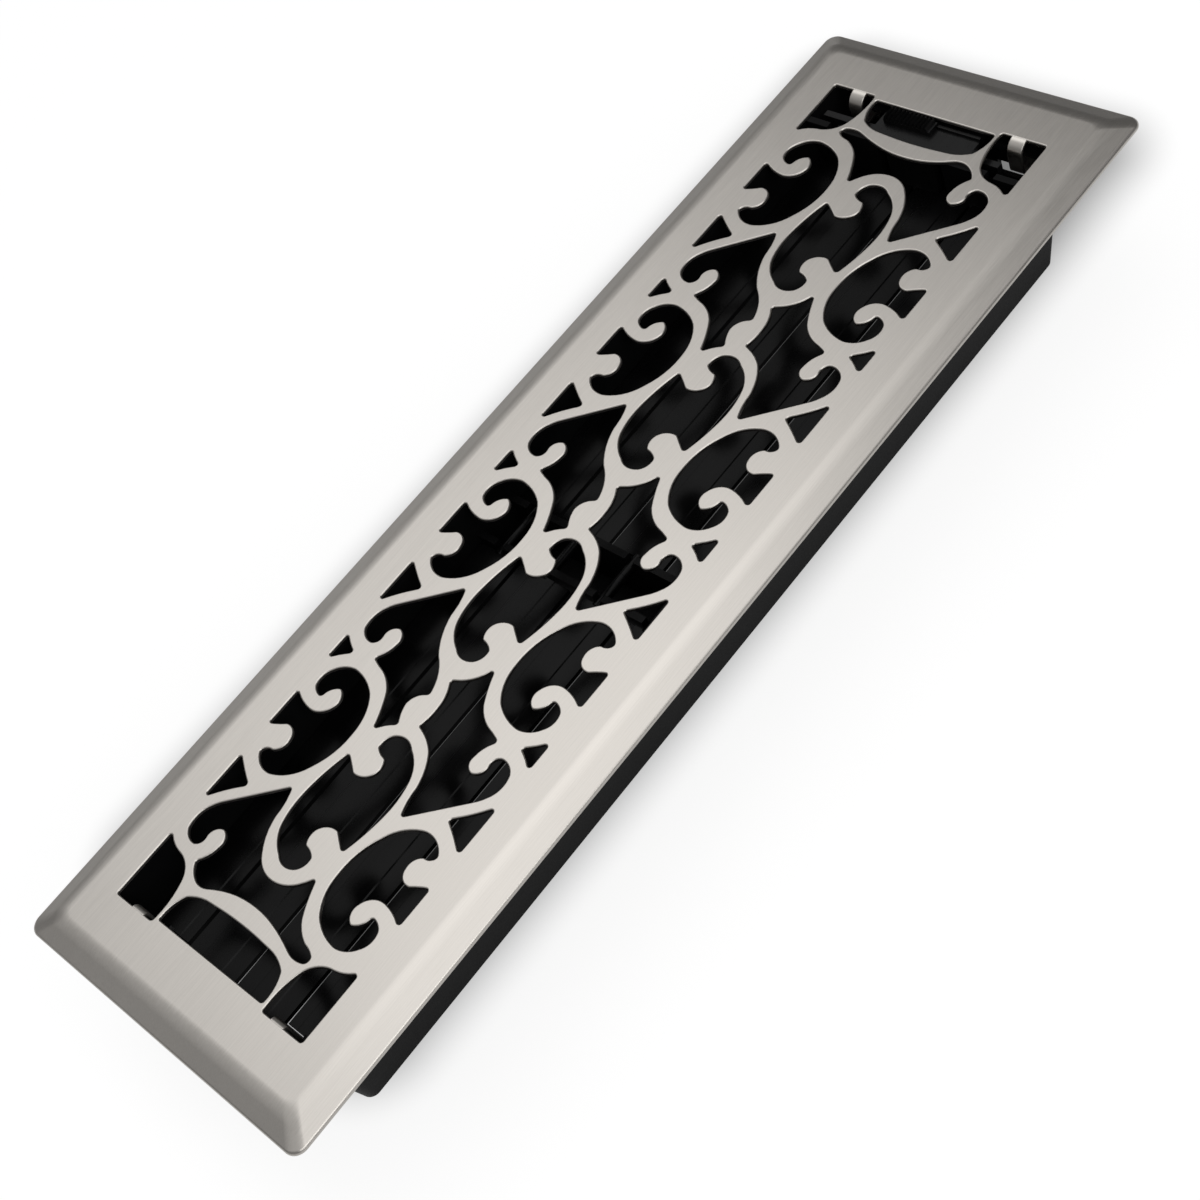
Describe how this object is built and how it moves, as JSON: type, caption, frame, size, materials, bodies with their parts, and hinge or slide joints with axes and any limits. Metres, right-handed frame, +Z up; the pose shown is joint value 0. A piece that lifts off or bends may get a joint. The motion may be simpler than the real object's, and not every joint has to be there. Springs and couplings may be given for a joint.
{
  "type": "floor register",
  "caption": "Rectangular floor register: brushed metal scroll grille over a drafted black damper box, with pivoting louvers opened and closed by a ridged thumb slide.",
  "frame": {"origin": "centre of the face's rim, on the floor plane that the rim stands on", "axes": "+X along the register away from the thumb slide, +Y across it the way the thumb slide moves to open, +Z up out of the floor"},
  "size_m": [0.333, 0.103, 0.043],
  "materials": {
    "brushed_nickel": "brushed along the length",
    "black_plastic": "satin black moulding",
    "black_plastic_louver": "semi-gloss black moulding"
  },
  "bodies": {
    "register": {"face_plate": "brushed_nickel", "damper_box": "black_plastic"},
    "thumb_slide": {"thumb_slide": "black_plastic"},
    "louver_a1": {"louver_a1": "black_plastic_louver"},
    "louver_a2": {"louver_a2": "black_plastic_louver"},
    "louver_a3": {"louver_a3": "black_plastic_louver"},
    "louver_a4": {"louver_a4": "black_plastic_louver"},
    "louver_b1": {"louver_b1": "black_plastic_louver"},
    "louver_b2": {"louver_b2": "black_plastic_louver"},
    "louver_b3": {"louver_b3": "black_plastic_louver"},
    "louver_b4": {"louver_b4": "black_plastic_louver"}
  },
  "joints": [
    {"name": "thumb_slide", "type": "slide", "parent": "register", "child": "thumb_slide", "axis": [0, 1, 0], "range_m": [0, 0.00777]},
    {"name": "louver_a1", "type": "hinge", "parent": "register", "child": "louver_a1", "pos_m": [0, -0.0262, -0.01], "axis": [-1, 0, 0], "range_deg": [0, 90]},
    {"name": "louver_a2", "type": "hinge", "parent": "register", "child": "louver_a2", "pos_m": [0, -0.0093, -0.01], "axis": [-1, 0, 0], "range_deg": [0, 90]},
    {"name": "louver_a3", "type": "hinge", "parent": "register", "child": "louver_a3", "pos_m": [0, 0.0093, -0.01], "axis": [-1, 0, 0], "range_deg": [0, 90]},
    {"name": "louver_a4", "type": "hinge", "parent": "register", "child": "louver_a4", "pos_m": [0, 0.0262, -0.01], "axis": [-1, 0, 0], "range_deg": [0, 90]},
    {"name": "louver_b1", "type": "hinge", "parent": "register", "child": "louver_b1", "pos_m": [0, -0.0262, -0.01], "axis": [-1, 0, 0], "range_deg": [0, 90]},
    {"name": "louver_b2", "type": "hinge", "parent": "register", "child": "louver_b2", "pos_m": [0, -0.0093, -0.01], "axis": [-1, 0, 0], "range_deg": [0, 90]},
    {"name": "louver_b3", "type": "hinge", "parent": "register", "child": "louver_b3", "pos_m": [0, 0.0093, -0.01], "axis": [-1, 0, 0], "range_deg": [0, 90]},
    {"name": "louver_b4", "type": "hinge", "parent": "register", "child": "louver_b4", "pos_m": [0, 0.0262, -0.01], "axis": [-1, 0, 0], "range_deg": [0, 90]}
  ],
  "couplings": [
    {"joint": "louver_a1", "follows": "thumb_slide", "rad_per_m": 201.9},
    {"joint": "louver_a2", "follows": "thumb_slide", "rad_per_m": 201.9},
    {"joint": "louver_a3", "follows": "thumb_slide", "rad_per_m": 201.9},
    {"joint": "louver_a4", "follows": "thumb_slide", "rad_per_m": 201.9},
    {"joint": "louver_b1", "follows": "thumb_slide", "rad_per_m": 201.9},
    {"joint": "louver_b2", "follows": "thumb_slide", "rad_per_m": 201.9},
    {"joint": "louver_b3", "follows": "thumb_slide", "rad_per_m": 201.9},
    {"joint": "louver_b4", "follows": "thumb_slide", "rad_per_m": 201.9}
  ]
}
